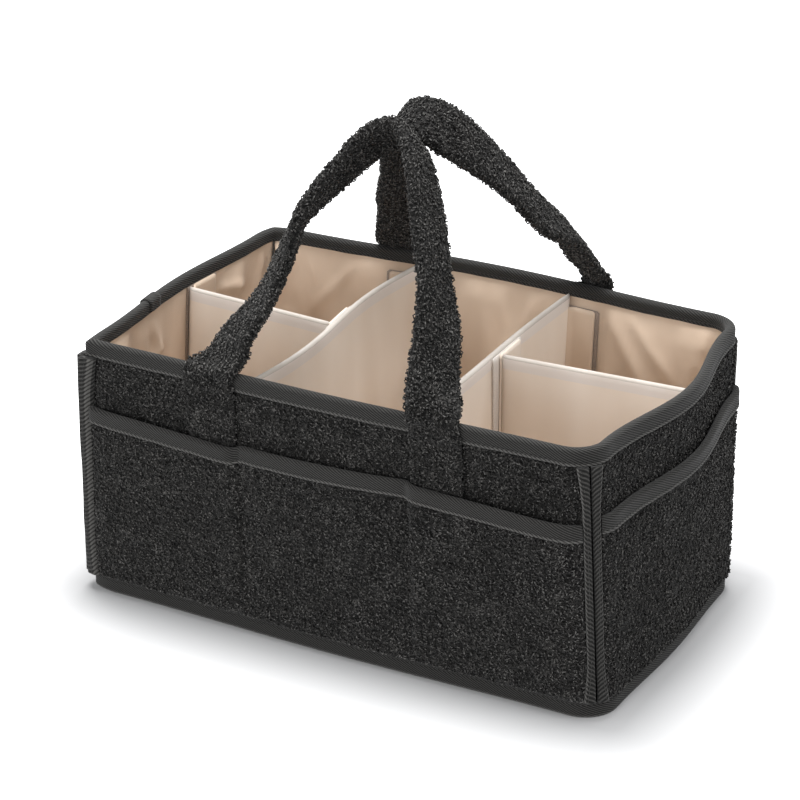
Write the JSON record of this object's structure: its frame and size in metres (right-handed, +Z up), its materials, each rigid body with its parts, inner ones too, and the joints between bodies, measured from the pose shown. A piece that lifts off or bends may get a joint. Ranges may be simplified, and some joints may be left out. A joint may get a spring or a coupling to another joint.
{
  "type": "organizer bag",
  "caption": "Open-topped organizer bag of dark plush on stiff boards, with outside pockets, soft carrying handles and removable cloth-covered dividers",
  "frame": {"origin": "middle of the whole bag's footprint, on the surface that it stands on", "axes": "+X along the bag's length to the right, -Y out of the front pocket face, +Z up"},
  "size_m": [0.4, 0.258, 0.3387],
  "materials": {
    "plush": "curly looped pile, matt",
    "binding_tape": "twill tape with fine ribs",
    "lining": "smooth woven nylon, soft sheen",
    "divider_cloth": "smooth woven nylon, soft sheen",
    "stiffener_board": "uncoated board",
    "padding": "loose wadding",
    "loop_tape": "brushed loop tape"
  },
  "bodies": {
    "bag": {"front_panel": "plush", "front_board": "stiffener_board", "front_lining": "lining", "right_panel": "plush", "right_board": "stiffener_board", "right_lining": "lining", "back_panel": "plush", "back_board": "stiffener_board", "back_lining": "lining", "left_panel": "plush", "left_board": "stiffener_board", "left_lining": "lining", "base_panel": "binding_tape", "base_board": "stiffener_board", "floor_lining": "lining", "rim_binding": "binding_tape", "rim_binding_join": "binding_tape", "base_binding": "binding_tape", "front_wall_start_fin": "binding_tape", "front_wall_end_fin": "binding_tape", "right_wall_start_fin": "binding_tape", "right_wall_end_fin": "binding_tape", "back_wall_start_fin": "binding_tape", "back_wall_end_fin": "binding_tape", "left_wall_start_fin": "binding_tape", "left_wall_end_fin": "binding_tape", "front_pocket": "plush", "front_pocket_binding": "binding_tape", "right_pocket": "plush", "right_pocket_binding": "binding_tape", "back_pocket": "plush", "back_pocket_binding": "binding_tape", "left_pocket": "plush", "left_pocket_binding": "binding_tape", "front_left_handle_tail": "plush", "front_right_handle_tail": "plush", "back_left_handle_tail": "plush", "back_right_handle_tail": "plush", "front_left_loop_tape": "loop_tape", "back_left_loop_tape": "loop_tape", "front_right_loop_tape": "loop_tape", "back_right_loop_tape": "loop_tape", "left_short_divider_tab": "divider_cloth", "left_wall_loop_tape": "loop_tape", "right_short_divider_tab": "divider_cloth", "right_wall_loop_tape": "loop_tape"},
    "front_handle": {"front_handle": "plush", "front_handle_core": "padding"},
    "back_handle": {"back_handle": "plush", "back_handle_core": "padding"},
    "left_cross_divider": {"left_cross_divider": "divider_cloth", "left_cross_divider_board": "stiffener_board", "left_divider_loop_tape": "loop_tape"},
    "right_cross_divider": {"right_cross_divider": "divider_cloth", "right_cross_divider_board": "stiffener_board", "right_divider_loop_tape": "loop_tape"},
    "left_short_divider": {"left_short_divider": "divider_cloth", "left_short_divider_board": "stiffener_board"},
    "right_short_divider": {"right_short_divider": "divider_cloth", "right_short_divider_board": "stiffener_board"}
  },
  "joints": [
    {"name": "front_handle_swing", "type": "hinge", "parent": "bag", "child": "front_handle", "pos_m": [0, -0.12896, 0.1862], "axis": [1, 0, 0], "range_deg": [0, 190]},
    {"name": "back_handle_swing", "type": "hinge", "parent": "bag", "child": "back_handle", "pos_m": [0, 0.12896, 0.1861], "axis": [-1, 0, 0], "range_deg": [0, 190]},
    {"name": "left_cross_divider_lift", "type": "slide", "parent": "bag", "child": "left_cross_divider", "axis": [0, 0, 1], "range_m": [0, 0.016]},
    {"name": "right_cross_divider_lift", "type": "slide", "parent": "bag", "child": "right_cross_divider", "axis": [0, 0, 1], "range_m": [0, 0.016]},
    {"name": "left_short_divider_swing", "type": "hinge", "parent": "bag", "child": "left_short_divider", "pos_m": [-0.06645, -0.0002, 0.09], "axis": [0, 0, -1], "range_deg": [0, 30]},
    {"name": "right_short_divider_swing", "type": "hinge", "parent": "bag", "child": "right_short_divider", "pos_m": [0.05743, 0.003, 0.09], "axis": [0, 0, -1], "range_deg": [0, 30]}
  ]
}
